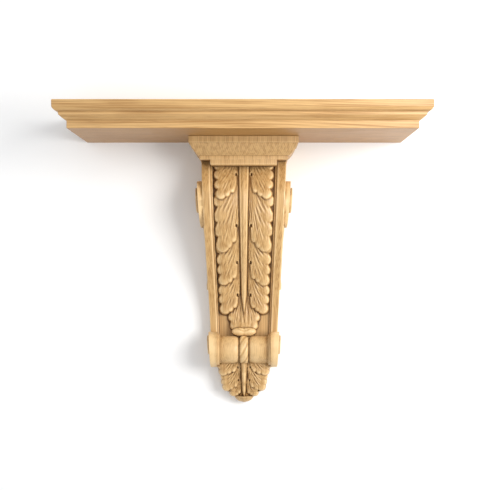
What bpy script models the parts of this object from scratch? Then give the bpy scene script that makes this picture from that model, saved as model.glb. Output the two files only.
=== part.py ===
"""A carved oak wall shelf: a moulded board that rests on one acanthus corbel.

The row frame has X along the wall, Y into the wall and Z up. The back is the plane y = 0, and the
origin is the hanging point on the corbel's back. A "drop" is a distance below the board's underside,
and a "depth" is a distance out from the wall.
"""

import math

import bmesh
import bpy
import numpy as np

MM = 0.001

# The board, with its moulding from the top edge down.
BOARD_WIDTH = 600 * MM
BOARD_DEPTH = 220 * MM
BOARD_FASCIA = 10.5 * MM
BOARD_OVOLO_RUN = 7.3 * MM
BOARD_OVOLO_DROP = 7.4 * MM
BOARD_FILLET_STEP = 1.8 * MM
BOARD_FILLET = 5.2 * MM
BOARD_QUIRK = 1.4 * MM
BOARD_THUMB_RUN = 8.0 * MM
BOARD_THUMB_DROP = 7.2 * MM
BOARD_LOWER_STEP = 1.8 * MM
BOARD_LOWER_FASCIA = 12.7 * MM
OVOLO_FLATNESS = 0.3

# The corbel's cap and the neck block below it.
HANGING_DROP = 55 * MM
CAP_WIDTH = 186 * MM
CAP_DEPTH = 103.5 * MM
CAP_FASCIA = 11 * MM
CAP_OVOLO_RUN = 15.5 * MM
CAP_OVOLO_DROP = 20.4 * MM
CAP_STEP = 2.3 * MM
CAP_FILLET = 6.7 * MM
NECK_WIDTH = 114 * MM
NECK_SET_BACK = 1.2 * MM
NECK_FALL = 10 * MM
NECK_ROUND = 4 * MM

# The shaft: an S-shaped front between two rails, narrowing downwards.
SHAFT_TOP_WIDTH = 147 * MM
SHAFT_FOOT_WIDTH = 112.2 * MM
SHAFT_NECK_DEPTH = 52 * MM
SHAFT_BULGE_DEPTH = 84 * MM
SHAFT_WAIST_DEPTH = 28 * MM
BULGE_DROP = 105 * MM
WAIST_DROP = 316 * MM
RAIL_PROUD = 8 * MM
RAIL_SHARE = 0.20
BEAD_PROUD = 4 * MM
BEAD_SHARE = 0.05
WALL_SHARE = 0.008

# The front leaf, in shares of its own length and of the shaft's half width.
LEAF_END_DROP = 342 * MM
LEAF_DOME = 3.5 * MM
LEAF_ROOT_RISE = 1.0 * MM
LEAF_TIP_RISE = 9.0 * MM
FINGER_CROWN = 2.6 * MM
FINGER_EDGE_SLOPE = 3.5
STEM_HALF_WIDTH = 8.4 * MM
STEM_RISE = 11 * MM
STEM_END = 0.88
LEAF_EDGE_GAP = 1.2 * MM
LEAF_EDGE_SLOPE = 6.0
EYE_SHARE = 0.20
EYE_LENGTH = 0.10
TONGUE_ROOT = (4 * MM, 255 * MM)
TONGUE_START_DROP = 292 * MM
TONGUE_HALF_WIDTH = 30 * MM
TONGUE_RISE = 9 * MM
CURL_OFFSET = 7.5 * MM
CURL_HALF_WIDTH = 14 * MM
CURL_FALL = 14.6 * MM
CURL_RISE = 24 * MM

# The roll at the foot, and the scrolls that end the rails around it.
ROLL_DROP = 366 * MM
ROLL_DEPTH = 36.5 * MM
BARREL_RADIUS = 23.7 * MM
GROOVE_INTO_SHAFT = 2.2 * MM
BARREL_SHOULDER = 11 * MM
COLLAR_RADIUS = 27 * MM
COLLAR_WIDTH = 3.4 * MM
KNOT_RADIUS = 24.8 * MM
KNOT_HALF_WIDTH = 7.8 * MM
GROOVE_HALF_WIDTH = 1.6 * MM

# The volutes on the sides: where they stand, how far they reach and how proud they are.
VOLUTE_DROP = 105.5 * MM
VOLUTE_DEPTH = 43 * MM
VOLUTE_TURN_WIDTH = 29.2 * MM
VOLUTE_START = 0.125
VOLUTE_EYE = 21.8 * MM
VOLUTE_PROUD = 6.6 * MM
VOLUTE_END_PROUD = 11.8 * MM
VOLUTE_EYE_PROUD = 13 * MM
SCROLL_EYE_DROP = 357.4 * MM
SCROLL_TURN_WIDTH = 33 * MM
SCROLL_START = 0.31
SCROLL_EYE = 16.3 * MM
SCROLL_PROUD = 2.0 * MM
SCROLL_END_PROUD = 3.0 * MM
SCROLL_EYE_PROUD = 5.8 * MM
VOLUTE_RIM = 3 * MM
VOLUTE_CHANNEL = 1.8 * MM

# The husk carved on each side between the volutes.
HUSK_TOP_DROP = 150 * MM
HUSK_LENGTH = 112 * MM
HUSK_MIDDLE = 0.50
HUSK_WIDTH = 0.24
HUSK_RISE = 3.0 * MM

# The leaf that hangs under the roll.
PENDANT_TOP_DROP = 370 * MM
PENDANT_LENGTH = 90.6 * MM
PENDANT_HALF_WIDTH = 62 * MM
PENDANT_TOP_DEPTH = 38 * MM
PENDANT_TIP_DEPTH = 12 * MM
PENDANT_LIP_DEPTH = 27 * MM
PENDANT_LIP_HALF_WIDTH = 16.5 * MM
PENDANT_LIP_FALL = 11 * MM
PENDANT_STEM_HALF_WIDTH = 4.8 * MM
PENDANT_STEM_RISE = 9 * MM

# How fine the facets are, and how far shapes that are joined run into each other.
ARC_STEPS = 4
FINGER_STEPS = 10
SHAFT_ROWS = 45
LEAF_ROWS = 180
LEAF_COLUMNS = 97
LEAF_TRIANGLES = 3700
HUSK_ROWS = 16
HUSK_COLUMNS = 5
PENDANT_ROWS = 56
PENDANT_COLUMNS = 56
PENDANT_TRIANGLES = 950
VOLUTE_SPOKES = 24
ROLL_SPOKES = 24
OVERLAP = 6 * MM
SINK = 1.5 * MM
WALL_MARGIN = 1.0 * MM
LEAF_CORE_DEPTH = 8 * MM
LEAF_SEAT_HALF_WIDTH = 16 * MM
LEAF_SEAT_BACK = 5 * MM
LEAF_SEAT_FALL = 22 * MM
SEAT_GAP = 0.3 * MM

# A finger's half width along its spine: places along it, and shares of its full half width.
SWELL = ((0.0, 0.30, 0.65, 0.85, 1.0), (0.40, 0.90, 1.30, 1.20, 0.95))
# One side's fingers in a tier of the leaf: how far out the tip stands in shares of the shaft's half
# width, how far down the tier, and the half width.
FINGERS = {
    "shoulder": (0.60, 0.46, 11.0 * MM),
    "upper": (0.575, 0.655, 12.5 * MM),
    "outer": (0.585, 0.82, 11.0 * MM),
    "corner": (0.56, 1.00, 11.5 * MM),
    "middle": (0.415, 0.955, 6.5 * MM),
    "inner": (0.285, 0.885, 6.0 * MM),
}
ALL_FINGERS = tuple(FINGERS)
# Tiers of a leaf: start and end in shares of its length, the eye in shares of the tier, reach, finger
# width, fingers.
TIERS = (
    (-0.13, 0.197, 0.51, 0.98, 0.80, ALL_FINGERS),
    (0.02, 0.503, 0.645, 0.97, 1.00, ALL_FINGERS),
    (0.353, 0.700, 0.57, 0.97, 0.83, ALL_FINGERS),
    (0.565, 0.869, 0.60, 0.97, 0.78, ALL_FINGERS[1:]),
)
PENDANT_TIERS = (
    (-0.14, 0.458, 0.70, 1.14, 0.66, ALL_FINGERS[1:]),
    (0.18, 0.767, 0.60, 1.04, 0.64, ALL_FINGERS),
    (0.50, 0.872, 0.90, 0.65, 0.55, ALL_FINGERS[2:]),
)
# The tongue that ends the front leaf: each finger's tip (x, drop) and half width.
TONGUE_FINGERS = (
    ((20.0 * MM, 310.0 * MM), 7.5 * MM),
    ((17.0 * MM, 324.5 * MM), 6.5 * MM),
    ((3.0 * MM, 326.0 * MM), 14.0 * MM),
)

OAK = (0.55, 0.36, 0.17, 1.0)
OAK_CARVED = (0.58, 0.38, 0.19, 1.0)


def ease(t):
    """Goes from 0 to 1 with level ends."""
    t = np.clip(t, 0.0, 1.0)
    return t * t * (3 - 2 * t)


def height_of(drop):
    """The row frame's Z at a drop below the board's underside."""
    return HANGING_DROP - drop


# Mouldings: each member is (kind, run inwards, drop).

def profile_points(members):
    """The (inset, drop) points of a moulding, from its top edge down."""
    points = [(0.0, 0.0)]
    for kind, run, drop in members:
        inset, low = points[-1]
        if kind == "ovolo":
            for k in range(1, ARC_STEPS + 1):
                share, angle = k / ARC_STEPS, math.pi / 2 * k / ARC_STEPS
                along = OVOLO_FLATNESS * share + (1 - OVOLO_FLATNESS) * (1 - math.cos(angle))
                down = OVOLO_FLATNESS * share + (1 - OVOLO_FLATNESS) * math.sin(angle)
                points.append((inset + run * along, low + drop * down))
        elif kind == "thumb":
            shares = [k / ARC_STEPS for k in range(1, ARC_STEPS + 1)]
            points += [(inset + run * u ** 1.35, low + drop * u) for u in shares]
        else:
            points.append((inset + run, low + drop))
    return points


BOARD_MOULDING = (
    ("flat", 0.0, BOARD_FASCIA),
    ("ovolo", BOARD_OVOLO_RUN, BOARD_OVOLO_DROP),
    ("step", BOARD_FILLET_STEP, 0.0),
    ("flat", 0.0, BOARD_FILLET),
    ("step", BOARD_QUIRK, 0.0),
    ("thumb", BOARD_THUMB_RUN, BOARD_THUMB_DROP),
    ("step", BOARD_LOWER_STEP, 0.0),
    ("flat", 0.0, BOARD_LOWER_FASCIA),
)
CAP_MOULDING = (
    ("flat", 0.0, CAP_FASCIA),
    ("ovolo", CAP_OVOLO_RUN, CAP_OVOLO_DROP),
    ("step", CAP_STEP, 0.0),
    ("flat", 0.0, CAP_FILLET),
)
BOARD_THICKNESS = sum(drop for _, _, drop in BOARD_MOULDING)
CAP_DROP = sum(drop for _, _, drop in CAP_MOULDING)
CAP_INSET = sum(run for _, run, _ in CAP_MOULDING)
NECK_DROP = CAP_DROP + NECK_FALL
FIELD = 1 - RAIL_SHARE - BEAD_SHARE
LEAF_TOP_DROP = NECK_DROP
LEAF_LENGTH = LEAF_END_DROP - LEAF_TOP_DROP
SHAFT_FOOT_DROP = ROLL_DROP + BARREL_RADIUS
GROOVE_RADIUS = ROLL_DEPTH - SHAFT_WAIST_DEPTH + RAIL_PROUD + GROOVE_INTO_SHAFT


def moulded_block(name, width, depth, members, top, back):
    """A block whose front and two ends carry a moulding, mitred at the corners. It starts as its top
    face, and each point of the profile extrudes the edges one step further down."""
    levels = [(width / 2 - inset, inset - depth, top - drop) for inset, drop in profile_points(members)]
    mesh = bmesh.new()
    bmesh.ops.create_grid(mesh, x_segments=1, y_segments=1, size=1.0)
    corners, edges = mesh.verts[:], mesh.edges[:]
    for number, (half, front, z) in enumerate(levels):
        if number > 0:
            made = bmesh.ops.extrude_edge_only(mesh, edges=edges)["geom"]
            corners = [item for item in made if isinstance(item, bmesh.types.BMVert)]
            edges = [item for item in made if isinstance(item, bmesh.types.BMEdge)]
        middle = sum(corner.co.y for corner in corners) / 4
        for corner in corners:
            y = front if corner.co.y < middle else back
            corner.co = (math.copysign(half, corner.co.x), y, z)
    bmesh.ops.contextual_create(mesh, geom=edges)
    return object_from(name, mesh)


# The shaft's lines, all as functions of the drop.

def half_width_at(drop):
    """Half the shaft's width, which tapers evenly from the cap to the foot."""
    share = (drop - CAP_DROP) / (SHAFT_FOOT_DROP - CAP_DROP)
    return (SHAFT_TOP_WIDTH + (SHAFT_FOOT_WIDTH - SHAFT_TOP_WIDTH) * share) / 2


def rail_depth_at(drop):
    """How far the rails' face stands from the wall: out to the bulge and back in to the waist."""
    above = np.clip((BULGE_DROP - drop) / (BULGE_DROP - CAP_DROP), 0.0, 1.0)
    below = ease((drop - BULGE_DROP) / (WAIST_DROP - BULGE_DROP))
    upper = SHAFT_NECK_DEPTH + (SHAFT_BULGE_DEPTH - SHAFT_NECK_DEPTH) * np.cos(math.pi / 2 * above)
    lower = SHAFT_BULGE_DEPTH + (SHAFT_WAIST_DEPTH - SHAFT_BULGE_DEPTH) * below
    return np.where(drop < BULGE_DROP, upper, lower)


# The leaf: fingers on curved spines, and the highest one shows.

def finger_height(x, drop, spine, half_width, down, rises):
    """The height of one finger over the ground. Its spine is a quadratic curve through root, bend and
    tip. It swells along the spine, it rises with the place along it and with the share down the
    leaf, and it is crowned across, most at its tip. Beyond its edge it falls off steeply."""
    low, high, crown = rises
    t = np.linspace(0.0, 1.0, FINGER_STEPS + 1)
    (root_x, root_s), (bend_x, bend_s), (tip_x, tip_s) = spine
    spine_x = (1 - t) ** 2 * root_x + 2 * t * (1 - t) * bend_x + t ** 2 * tip_x
    spine_s = (1 - t) ** 2 * root_s + 2 * t * (1 - t) * bend_s + t ** 2 * tip_s
    swell = half_width * np.interp(t, *SWELL)
    nearest = np.full(x.shape, np.inf)
    along = np.zeros(x.shape)
    reach = np.full(x.shape, half_width)
    for k in range(FINGER_STEPS):
        dx, ds = spine_x[k + 1] - spine_x[k], spine_s[k + 1] - spine_s[k]
        share = ((x - spine_x[k]) * dx + (drop - spine_s[k]) * ds) / (dx * dx + ds * ds)
        share = np.clip(share, 0.0, 1.0)
        width = swell[k] + (swell[k + 1] - swell[k]) * share
        away = np.hypot(x - spine_x[k] - share * dx, drop - spine_s[k] - share * ds) / width
        closer = away < nearest
        nearest = np.where(closer, away, nearest)
        along = np.where(closer, t[k] + share / FINGER_STEPS, along)
        reach = np.where(closer, width, reach)
    base = low + (high - low) * (0.35 * along + 0.65 * down) ** 1.5
    bulge = crown * (0.3 + 0.7 * along ** 2)
    inside = base + bulge * np.sqrt(np.clip(1 - nearest ** 2, 0, 1))
    outside = base - FINGER_EDGE_SLOPE * (nearest - 1) * reach
    return np.where(nearest < 1, inside, outside)


def tier_heights(x, drop, tiers, top, length, half_width, rises):
    """The highest of all the fingers of a leaf, worked out on one half and mirrored. Below its eye a
    tier's inner edge draws back from the rib, so the tier under it shows there."""
    out = np.abs(x)
    height = np.full(x.shape, -1.0)
    for start, end, eye, reach, swell, names in tiers:
        first, span = top + start * length, (end - start) * length
        down = np.clip((drop - first) / span, 0, 1)
        tier = np.full(x.shape, -1.0)
        for name in names:
            tip_share, tip_down, finger_width = FINGERS[name]
            tip_drop = first + tip_down * span - finger_width * swell
            tip = (tip_share * reach * half_width(tip_drop), tip_drop)
            root = (0.13 * half_width(first), first)
            bend = (root[0] + 0.33 * (tip[0] - root[0]), root[1] + 0.62 * (tip[1] - root[1]))
            made = finger_height(out, drop, (root, bend, tip), finger_width * swell, down, rises)
            tier = np.maximum(tier, made)
        inner_edge = EYE_SHARE * half_width(drop) * ease((down - eye) / EYE_LENGTH)
        tier = np.minimum(tier, rises[1] + FINGER_EDGE_SLOPE * (out - inner_edge))
        height = np.maximum(height, tier)
    return height


def tongue_height(x, drop, rises):
    """The small leaf that ends the front leaf: three fingers on each side from one root."""
    out = np.abs(x)
    root_x, root_drop = TONGUE_ROOT
    down = np.clip((drop - root_drop) / (LEAF_END_DROP - root_drop), 0, 1)
    height = np.full(x.shape, -1.0)
    for (tip_x, tip_drop), half_width in TONGUE_FINGERS:
        bend = (root_x + 0.6 * (tip_x - root_x), root_drop + 0.62 * (tip_drop - root_drop))
        spine = (TONGUE_ROOT, bend, (tip_x, tip_drop))
        height = np.maximum(height, finger_height(out, drop, spine, half_width, down, rises))
    return height


def stem_height(x, drop, top, end, half_width, rise):
    """The round rib down the leaf's middle, tapering to a point."""
    left = np.clip((end - drop) / (end - top), 0.0, 1.0)
    width = half_width * (0.35 + 0.65 * left) * np.clip(left * 8, 0, 1) + 1e-6
    across = np.abs(x) / width
    inside = rise * (0.7 + 0.3 * np.sqrt(np.clip(1 - across ** 2, 0, 1)))
    return np.where(across < 1, inside, 0.7 * rise - FINGER_EDGE_SLOPE * (np.abs(x) - width))


def curl_height(x, drop):
    """The leaf's end, rolled over forwards into a short curl with a notch in its middle."""
    up = (drop - LEAF_END_DROP + CURL_FALL / 2) / (CURL_FALL / 2)
    away = np.hypot((np.abs(x) - CURL_OFFSET) / CURL_HALF_WIDTH, up)
    inside = CURL_RISE * (0.72 + 0.28 * np.sqrt(np.clip(1 - away ** 2, 0, 1)))
    return np.where(away < 1, inside, -1.0)


def leaf_relief(x, drop):
    """How far the front leaf stands out from the sunk ground. Between its fingers it lies under the
    ground."""
    share = np.abs(x) / half_width_at(drop)
    dome = LEAF_DOME * np.sin(math.pi * np.clip(share / FIELD, 0, 1))
    rises = (LEAF_ROOT_RISE, LEAF_TIP_RISE, FINGER_CROWN)
    leaf = tier_heights(x, drop, TIERS, LEAF_TOP_DROP, LEAF_LENGTH, half_width_at, rises) + dome
    leaf = np.maximum(leaf, tongue_height(x, drop, rises))
    leaf_edge = FIELD * half_width_at(drop) - LEAF_EDGE_GAP
    leaf = np.minimum(leaf, LEAF_EDGE_SLOPE * (leaf_edge - np.abs(x)))
    stem_end = LEAF_TOP_DROP + STEM_END * LEAF_LENGTH
    stem = stem_height(x, drop, LEAF_TOP_DROP, stem_end, STEM_HALF_WIDTH, STEM_RISE)
    reach = np.clip(1 - (np.abs(x) / TONGUE_HALF_WIDTH) ** 2, 0, 1)
    lift = ease((drop - TONGUE_START_DROP) / (LEAF_END_DROP - TONGUE_START_DROP)) * reach
    leaf = np.where(leaf > 0, leaf + TONGUE_RISE * lift, leaf)
    carved = np.maximum(np.maximum(leaf, stem), curl_height(x, drop))
    return np.maximum(carved, -SINK)


def tube_solid(name, x, depth, drop):
    """A solid lofted through equal rows of points, each row a closed outline, from the top down."""
    rows, columns = x.shape
    mesh = bmesh.new()
    points = np.stack([x, -depth, height_of(drop)], axis=-1)
    rings = [[mesh.verts.new(point) for point in row] for row in points]
    for upper, lower in zip(rings, rings[1:]):
        for k in range(columns):
            after = (k + 1) % columns
            mesh.faces.new((upper[k], lower[k], lower[after], upper[after]))
    mesh.faces.new(rings[0])
    mesh.faces.new(rings[-1])
    return object_from(name, mesh)


def shaft_body():
    """The shaft without its leaf: flat sides, two rails with a bead inside each, and the ground."""
    drops = np.linspace(CAP_DROP - 2 * OVERLAP, SHAFT_FOOT_DROP, SHAFT_ROWS)[:, None]
    half, rail = half_width_at(drops), rail_depth_at(drops)
    edge = [1.0, 1 - RAIL_SHARE, 1 - RAIL_SHARE - WALL_SHARE, FIELD, FIELD - WALL_SHARE]
    sunk = [0.0, 0.0, RAIL_PROUD - BEAD_PROUD, RAIL_PROUD - BEAD_PROUD, RAIL_PROUD]
    share = np.array([-1.0] + [-e for e in edge] + edge[::-1] + [1.0])[None, :]
    below = np.array([0.0] + sunk + sunk[::-1] + [0.0])[None, :]
    depth = rail - below
    depth[:, [0, -1]] = 0.0
    return tube_solid("shaft", half * share, depth, drops + 0 * share)


def front_leaf():
    """The leaf on the shaft's front, as one solid that runs into the shaft. Under its curl it goes on
    down as a narrower seat behind the roll, so no tunnel is left there."""
    drops = np.linspace(LEAF_TOP_DROP - OVERLAP, LEAF_END_DROP, LEAF_ROWS)[:, None]
    share = np.linspace(-FIELD, FIELD, LEAF_COLUMNS)[None, :]
    x = half_width_at(drops) * share
    depth = rail_depth_at(drops) - RAIL_PROUD + leaf_relief(x, drops + 0 * x)
    seat = np.where(np.abs(x[-1:]) < LEAF_SEAT_HALF_WIDTH, ROLL_DEPTH - LEAF_SEAT_BACK, LEAF_CORE_DEPTH)
    x = np.concatenate([x, x[-1:], x[-1:]])
    depth = np.concatenate([depth, seat, seat])
    drops = np.concatenate([drops, drops[-1:] + SINK, drops[-1:] + LEAF_SEAT_FALL])
    x = np.concatenate([x[:, :1], x, x[:, -1:]], axis=1)
    core = np.full((len(drops), 1), LEAF_CORE_DEPTH)
    depth = np.concatenate([core, depth, core], axis=1)
    leaf = tube_solid("front_leaf", x, depth, drops + 0 * x)
    thin_out(leaf, LEAF_TRIANGLES)
    return leaf


def husk(name, side):
    """The husk carved on a side below the volute: a collar, a long swelling body and a turned tip."""
    down = np.linspace(0.0, 1.0, HUSK_ROWS)[:, None]
    drops = HUSK_TOP_DROP + HUSK_LENGTH * down
    across = np.linspace(-1.0, 1.0, HUSK_COLUMNS)[None, :]
    middle = HUSK_MIDDLE * rail_depth_at(drops)
    width = HUSK_WIDTH * rail_depth_at(drops) * (1 - 0.3 * np.sin(2 * math.pi * down) ** 2)
    collar = np.cos(math.pi / 2 * np.clip(down / 0.3, 0, 1)) ** 2
    tip = np.clip((down - 0.84) / 0.08, 0, 1)
    swell = 0.5 + 0.5 * np.maximum(collar, tip)
    rise = HUSK_RISE * swell * np.sqrt(1 - 0.8 * across ** 2)
    x = half_width_at(drops) + rise
    depth = middle + width * across
    root = half_width_at(drops) - OVERLAP
    x = np.concatenate([root, x, root], axis=1)
    depth = np.concatenate([depth[:, :1], depth, depth[:, -1:]], axis=1)
    return tube_solid(name, side * x, depth, drops + 0 * x)


# The roll and the volutes.

def roll_profile():
    """The barrel's (x, radius) outline from its middle to its end: the knot, a groove, a round
    shoulder, the barrel and the collar beside the scroll."""
    end = (1 - RAIL_SHARE) * half_width_at(ROLL_DROP)
    turn = [k / ARC_STEPS for k in range(ARC_STEPS + 1)]
    knot = [(KNOT_HALF_WIDTH * u, GROOVE_RADIUS + (KNOT_RADIUS - GROOVE_RADIUS)
             * math.sqrt(max(0.0, 1 - u ** 3))) for u in turn]
    start = KNOT_HALF_WIDTH + GROOVE_HALF_WIDTH
    shoulder = [(start + BARREL_SHOULDER * (1 - math.cos(math.pi / 2 * u)),
                 GROOVE_RADIUS + (BARREL_RADIUS - GROOVE_RADIUS)
                 * math.sin(math.pi / 2 * u)) for u in turn]
    collar = end - COLLAR_WIDTH
    return knot + shoulder + [(collar, BARREL_RADIUS), (collar, COLLAR_RADIUS),
                              (end + OVERLAP, COLLAR_RADIUS)]


def turned_roll():
    """The barrel between the scrolls, turned about a level axis with a Screw modifier."""
    half = roll_profile()
    outline = half[::-1] + [(-x, radius) for x, radius in half[1:]]
    outline = [(outline[0][0], 0.0)] + outline + [(outline[-1][0], 0.0)]
    mesh = bpy.data.meshes.new("roll")
    corners = [(x, 0.0, radius) for x, radius in outline]
    mesh.from_pydata(corners, [(k, k + 1) for k in range(len(corners) - 1)], [])
    roll = bpy.data.objects.new("roll", mesh)
    roll.location = (0.0, -ROLL_DEPTH, height_of(ROLL_DROP))
    screw = roll.modifiers.new("turn", "SCREW")
    screw.axis = "X"
    screw.steps = screw.render_steps = ROLL_SPOKES
    screw.use_merge_vertices = True
    screw.merge_threshold = 1e-5
    return roll


def volute(name, side, centre, eye, turn_width, start, rises, root):
    """A scroll whose edge is a spiral round the eye. The turn is turn_width wide where it starts,
    a share start of a full turn before the bottom, and runs forward, over the top and back until it
    closes on the eye. It rises from the first of rises to the second, and the eye to the third. It is
    worked out on spokes round the eye, and root is how far in from the side it begins."""
    depth, drop = centre
    proud, end_proud, eye_proud = rises
    share = np.linspace(0.0, 1.0, VOLUTE_SPOKES + 1)
    spoke = 2 * math.pi * (share - start - 0.25)
    behind = np.minimum(np.cos(spoke), -0.1)
    to_wall = np.where(np.cos(spoke) < -0.1, (WALL_MARGIN - depth) / behind, 1.0)
    gap = np.minimum(turn_width * (1 - share), to_wall - eye)
    rise = proud + (end_proud - proud) * share
    rim = np.minimum(VOLUTE_RIM, 0.4 * gap)
    groove = np.where(gap > VOLUTE_RIM, VOLUTE_CHANNEL * np.clip(share * 12, 0, 1), 0.0)
    level = np.ones(VOLUTE_SPOKES + 1)
    stations = [(eye * radius * level, (eye_proud - VOLUTE_CHANNEL * sunk) * level)
                for radius, sunk in ((0.0, 0.0), (0.42, 0.0), (0.48, 1.0), (0.8, 1.0), (0.86, 0.0))]
    stations.append((eye * level, eye_proud * level))
    stations.append((eye + 0.02 * gap, rise - groove))
    stations.append((eye + gap - 1.3 * rim, rise - groove))
    stations.append((eye + gap - rim, rise))
    stations.append((eye + gap, rise))
    stations.append((eye + gap, -root * level))
    radius = np.stack([r for r, _ in stations])
    out = np.stack([h for _, h in stations])
    out[6:, -1] = -root
    y = depth + radius * np.cos(spoke)
    s = drop - radius * np.sin(spoke)
    x = np.where(out == -root, half_width_at(drop) - root, half_width_at(s) + out)
    return spoke_solid(name, side * x, -y, height_of(s))


def spoke_solid(name, x, y, z):
    """Closes rings of points, from the middle out and down to the base, into one solid."""
    rings, spokes = x.shape
    mesh = bmesh.new()
    points = np.stack([x, y, z], axis=-1)
    rows = [[mesh.verts.new(points[r, k]) for k in range(spokes)] for r in range(rings)]
    for inner, outer in zip(rows, rows[1:]):
        for k in range(spokes):
            after = (k + 1) % spokes
            mesh.faces.new((inner[k], outer[k], outer[after], inner[after]))
    mesh.faces.new(rows[-1])
    bmesh.ops.remove_doubles(mesh, verts=mesh.verts, dist=1e-6)
    return object_from(name, mesh)


# The pendant leaf.

def pendant_half_width_at(drop):
    """The leaf's half width before its fingers cut into it: straight sides, closing to the tip."""
    share = np.clip((drop - PENDANT_TOP_DROP) / PENDANT_LENGTH, 0, 1)
    return PENDANT_HALF_WIDTH * (1 - 0.25 * share)


def pendant_heights(x, drop):
    """The relief of the pendant leaf over its core, and below zero outside the leaf's outline."""
    rises = (0.0, 0.9 * LEAF_TIP_RISE, FINGER_CROWN)
    leaf = tier_heights(x, drop, PENDANT_TIERS, PENDANT_TOP_DROP, PENDANT_LENGTH,
                        pendant_half_width_at, rises)
    end = PENDANT_TOP_DROP + PENDANT_LENGTH
    stem = stem_height(x, drop, PENDANT_TOP_DROP, end - PENDANT_LIP_FALL,
                       PENDANT_STEM_HALF_WIDTH, PENDANT_STEM_RISE)
    return np.maximum(leaf, stem)


def pendant_leaf():
    """The leaf under the roll. Each row reaches as far out as the fingers do, so the finger tips are
    its outline, and its end turns forward in a round lip."""
    end = PENDANT_TOP_DROP + PENDANT_LENGTH
    drops = np.linspace(PENDANT_TOP_DROP, end, PENDANT_ROWS)[:, None]
    widest = pendant_half_width_at(PENDANT_TOP_DROP)
    probe = np.linspace(0.0, 1.1 * widest, 400)[None, :] + 0 * drops
    inside = pendant_heights(probe, drops + 0 * probe) > 0
    fingers_out = (probe * inside).max(axis=1, keepdims=True)
    lip_share = np.clip((end - drops) / PENDANT_LIP_FALL, 0, 1)
    lip_out = PENDANT_LIP_HALF_WIDTH * np.sqrt(np.clip(1 - (1 - lip_share) ** 2, 0.02, 1))
    out = np.maximum(np.where(lip_share < 1, 0.0, fingers_out), lip_out)
    share = np.linspace(-1.0, 1.0, PENDANT_COLUMNS)[None, :]
    x = out * share
    down = (drops - PENDANT_TOP_DROP) / PENDANT_LENGTH
    core = PENDANT_TIP_DEPTH + (PENDANT_TOP_DEPTH - PENDANT_TIP_DEPTH) * (1 - down ** 1.5)
    sag = core * 0.35 * (np.abs(x) / widest) ** 2
    leaf = core - sag + np.maximum(pendant_heights(x, drops + 0 * x), 0.0)
    round_off = np.sqrt(np.clip(1 - share ** 2, 0, 1)) * np.sqrt(np.clip(lip_share, 0.05, 1))
    lip = PENDANT_TIP_DEPTH + (PENDANT_LIP_DEPTH - PENDANT_TIP_DEPTH) * round_off
    depth = np.where(lip_share < 1, lip, leaf)
    x = np.concatenate([x[:, :1], x, x[:, -1:]], axis=1)
    back = np.zeros((PENDANT_ROWS, 1))
    depth = np.concatenate([back, depth, back], axis=1)
    leaf = tube_solid("pendant_leaf", x, depth, drops + 0 * x)
    thin_out(leaf, PENDANT_TRIANGLES)
    return leaf


# Building the objects.

def object_from(name, mesh):
    """An object from a bmesh, with its faces turned outwards."""
    bmesh.ops.recalc_face_normals(mesh, faces=mesh.faces)
    data = bpy.data.meshes.new(name)
    mesh.to_mesh(data)
    mesh.free()
    return bpy.data.objects.new(name, data)


def collection(name):
    made = bpy.data.collections.new(name)
    bpy.context.scene.collection.children.link(made)
    return made


def wood(name, colour):
    material = bpy.data.materials.new(name)
    material.use_nodes = True
    shader = material.node_tree.nodes["Principled BSDF"]
    shader.inputs["Base Color"].default_value = colour
    shader.inputs["Roughness"].default_value = 0.55
    shader.inputs["Metallic"].default_value = 0.0
    return material


def thin_out(obj, triangles):
    """A Decimate modifier that leaves about this many triangles, alike on both sides."""
    faces = sum(len(face.vertices) - 2 for face in obj.data.polygons)
    modifier = obj.modifiers.new("facets", "DECIMATE")
    modifier.ratio = min(1.0, triangles / faces)
    modifier.use_symmetry = True
    modifier.symmetry_axis = "X"


def as_guide(obj, group):
    """Keeps a shape that is joined to another one out of the built part."""
    group.objects.link(obj)
    obj.hide_render = True
    obj.display_type = "WIRE"


def corbel_masses():
    """The shapes that are joined to the shaft, each with a clear overlap."""
    rail_width = RAIL_SHARE * half_width_at(ROLL_DROP)
    neck_depth = CAP_DEPTH - CAP_INSET - NECK_SET_BACK
    neck_members = (("flat", 0.0, NECK_FALL + OVERLAP - NECK_ROUND), ("ovolo", NECK_ROUND, NECK_ROUND))
    masses = [
        moulded_block("cap", CAP_WIDTH, CAP_DEPTH, CAP_MOULDING, height_of(SEAT_GAP), 0.0),
        moulded_block("neck", NECK_WIDTH, neck_depth, neck_members,
                      height_of(CAP_DROP - OVERLAP), -LEAF_CORE_DEPTH),
        front_leaf(),
        turned_roll(),
        pendant_leaf(),
    ]
    for side, word in ((-1, "left"), (1, "right")):
        masses.append(volute("volute_" + word, side, (VOLUTE_DEPTH, VOLUTE_DROP), VOLUTE_EYE,
                             VOLUTE_TURN_WIDTH, VOLUTE_START,
                             (VOLUTE_PROUD, VOLUTE_END_PROUD, VOLUTE_EYE_PROUD), OVERLAP))
        masses.append(volute("scroll_" + word, side, (ROLL_DEPTH, SCROLL_EYE_DROP), SCROLL_EYE,
                             SCROLL_TURN_WIDTH, SCROLL_START,
                             (SCROLL_PROUD, SCROLL_END_PROUD, SCROLL_EYE_PROUD), rail_width))
        masses.append(husk("husk_" + word, side))
    return masses


def build_corbel(parts, guides):
    """The corbel, carved as one piece: the shaft joined to all its masses at once."""
    corbel = shaft_body()
    corbel.name = "corbel"
    for mass in corbel_masses():
        as_guide(mass, guides)
    join = corbel.modifiers.new("join", "BOOLEAN")
    join.operation = "UNION"
    join.operand_type = "COLLECTION"
    join.collection = guides
    join.solver = "EXACT"
    corbel.data.materials.append(wood("carved oak", OAK_CARVED))
    parts.objects.link(corbel)


def build_board(parts):
    """The moulded board that rests on the cap."""
    board = moulded_block("shelf_board", BOARD_WIDTH, BOARD_DEPTH, BOARD_MOULDING,
                          height_of(-BOARD_THICKNESS), 0.0)
    board.data.materials.append(wood("oak", OAK))
    parts.objects.link(board)


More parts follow.
